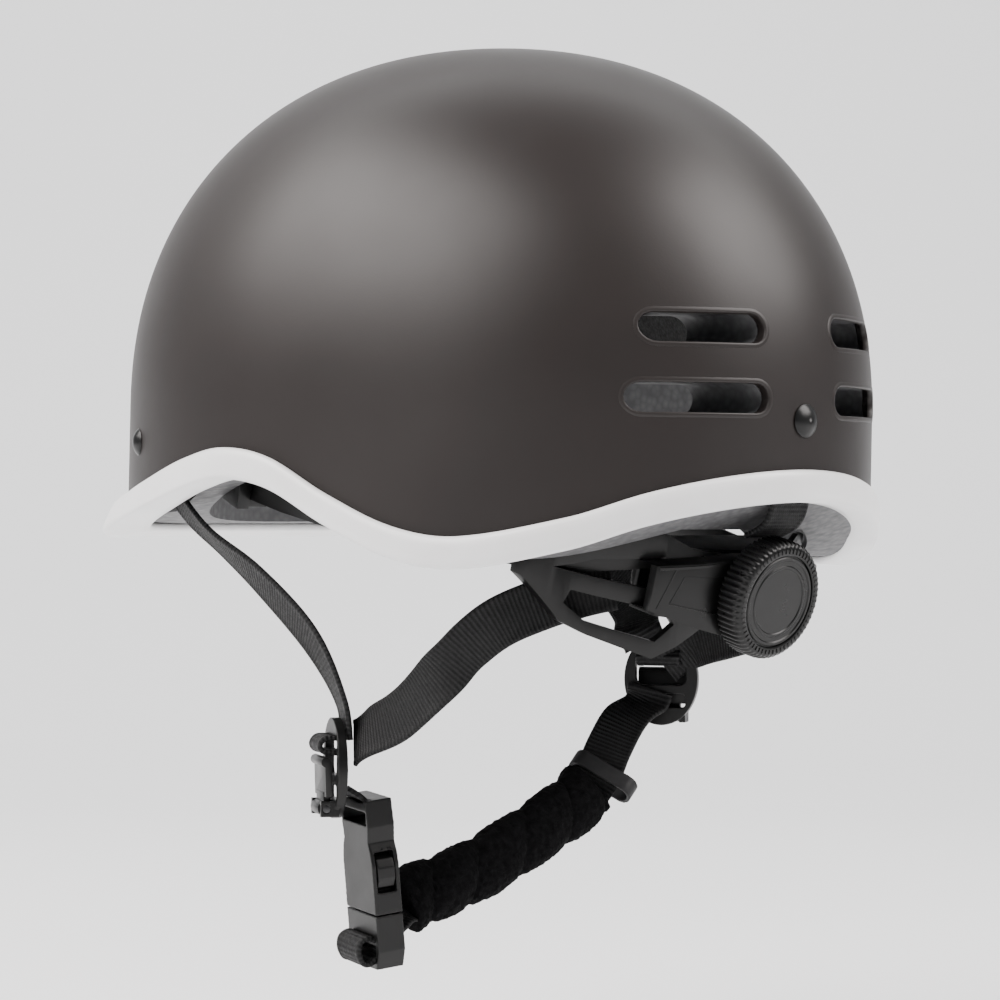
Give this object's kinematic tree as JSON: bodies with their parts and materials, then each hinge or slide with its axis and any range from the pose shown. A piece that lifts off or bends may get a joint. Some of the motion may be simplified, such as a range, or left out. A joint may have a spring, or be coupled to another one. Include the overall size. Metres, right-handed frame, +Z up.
{
  "type": "cycling helmet",
  "caption": "Round-shell urban cycling helmet with a rim band and small brim, slot vents, foam liner, rear dial fit cradle, strap dividers, side-release buckle and padded chin strap.",
  "frame": {"origin": "centre of the shell's widest level, midway between its sides and between its front and back", "axes": "+Z up through the crown, -Y towards the brim at the front, +X towards the wearer's left"},
  "size_m": [0.2206, 0.2929, 0.3],
  "materials": {
    "shell_charcoal": "matte",
    "foam_grey": "matte",
    "trim_white": "satin",
    "rivet_black": "satin",
    "plate_grey": "matte",
    "dot_black": "matte",
    "webbing_black": "matte",
    "fleece_black": "matte",
    "pad_fabric": "matte",
    "rubber_black": "matte",
    "plastic_black": "satin",
    "plastic_gloss": "satin",
    "steel": "satin"
  },
  "bodies": {
    "helmet": {"outer_shell": "shell_charcoal", "eps_liner": "foam_grey", "rim_trim": "trim_white", "strap_rivets": "rivet_black", "anchor_plates": "plate_grey", "pad_dots": "dot_black", "brow_pad": "pad_fabric", "crown_pad_left": "pad_fabric", "crown_pad_right": "pad_fabric", "side_pad_left": "pad_fabric", "side_pad_right": "pad_fabric", "nape_pad_left": "pad_fabric", "nape_pad_right": "pad_fabric", "front_strap_left": "webbing_black", "front_strap_right": "webbing_black", "rear_strap_left": "webbing_black", "rear_strap_right": "webbing_black", "hanger_strap": "webbing_black", "buckle_strap": "webbing_black", "chin_strap": "webbing_black", "chin_pad": "fleece_black", "strap_keeper": "rubber_black", "buckle_socket": "plastic_black", "divider_base_left": "plastic_black", "divider_base_right": "plastic_black", "lever_pin_left": "steel", "lever_pin_right": "steel", "band_pins": "steel", "band_anchor_left": "plastic_black", "band_anchor_right": "plastic_black"},
    "cradle": {"housing_front": "plastic_gloss", "housing_back": "plastic_black", "housing_screws": "steel", "detent_spring": "plastic_black", "fit_yoke": "plastic_black", "yoke_pad": "pad_fabric"},
    "dial": {"dial_knob": "plastic_gloss", "dial_disc": "plastic_gloss", "drive_gear": "plastic_black", "dial_screw": "steel"},
    "band_left": {"side_band_left": "plastic_black"},
    "band_right": {"side_band_right": "plastic_black"},
    "lever_left": {"divider_lever_left": "plastic_black"},
    "lever_right": {"divider_lever_right": "plastic_black"},
    "tongue": {"buckle_tongue": "plastic_black"},
    "button_front": {"prong_front": "plastic_black"},
    "button_rear": {"prong_rear": "plastic_black"}
  },
  "joints": [
    {"name": "cradle_slide", "type": "slide", "parent": "helmet", "child": "cradle", "axis": [0, -0.9659, 0.2588], "range_m": [0, 0.006], "deforming": ["rear_strap_left", "rear_strap_right", "hanger_strap"]},
    {"name": "dial_turn", "type": "hinge", "parent": "cradle", "child": "dial", "pos_m": [0, 0.1288, -0.0605], "axis": [0, -0.9659, 0.2588], "range_deg": [0, 170]},
    {"name": "band_left_swing", "type": "hinge", "parent": "helmet", "child": "band_left", "pos_m": [0.067, -0.04497, -0.02398], "axis": [0, 0.2588, 0.9659], "range_deg": [0, 5.8]},
    {"name": "band_right_swing", "type": "hinge", "parent": "helmet", "child": "band_right", "pos_m": [-0.067, -0.04497, -0.02398], "axis": [0, 0.2588, 0.9659], "range_deg": [-5.8, 0]},
    {"name": "lever_left_turn", "type": "hinge", "parent": "helmet", "child": "lever_left", "pos_m": [0.07881, 0.0048, -0.1275], "axis": [0.5, 0.866, 0], "range_deg": [0, 80]},
    {"name": "lever_right_turn", "type": "hinge", "parent": "helmet", "child": "lever_right", "pos_m": [-0.07481, 0.0098, -0.1035], "axis": [0.5, -0.866, 0], "range_deg": [0, 80]},
    {"name": "buckle_release", "type": "slide", "parent": "helmet", "child": "tongue", "axis": [-0.1302, -0.02, -0.9913], "range_m": [0, 0.024], "deforming": ["chin_strap", "chin_pad", "prong_front", "prong_rear"]},
    {"name": "button_front_press", "type": "hinge", "parent": "tongue", "child": "button_front", "pos_m": [0.06021, 0.00547, -0.16238], "axis": [-0.9495, 0.2903, 0.1188], "range_deg": [0, 9], "stiffness_Nm_per_rad": 0.5},
    {"name": "button_rear_press", "type": "hinge", "parent": "tongue", "child": "button_rear", "pos_m": [0.06426, 0.01906, -0.16318], "axis": [0.9495, -0.2903, -0.1188], "range_deg": [0, 9], "stiffness_Nm_per_rad": 0.5}
  ],
  "couplings": [
    {"joint": "cradle_slide", "follows": "dial_turn", "m_per_rad": 0.002},
    {"joint": "band_left_swing", "follows": "dial_turn", "ratio": 0.032982},
    {"joint": "band_right_swing", "follows": "dial_turn", "ratio": -0.032982}
  ]
}
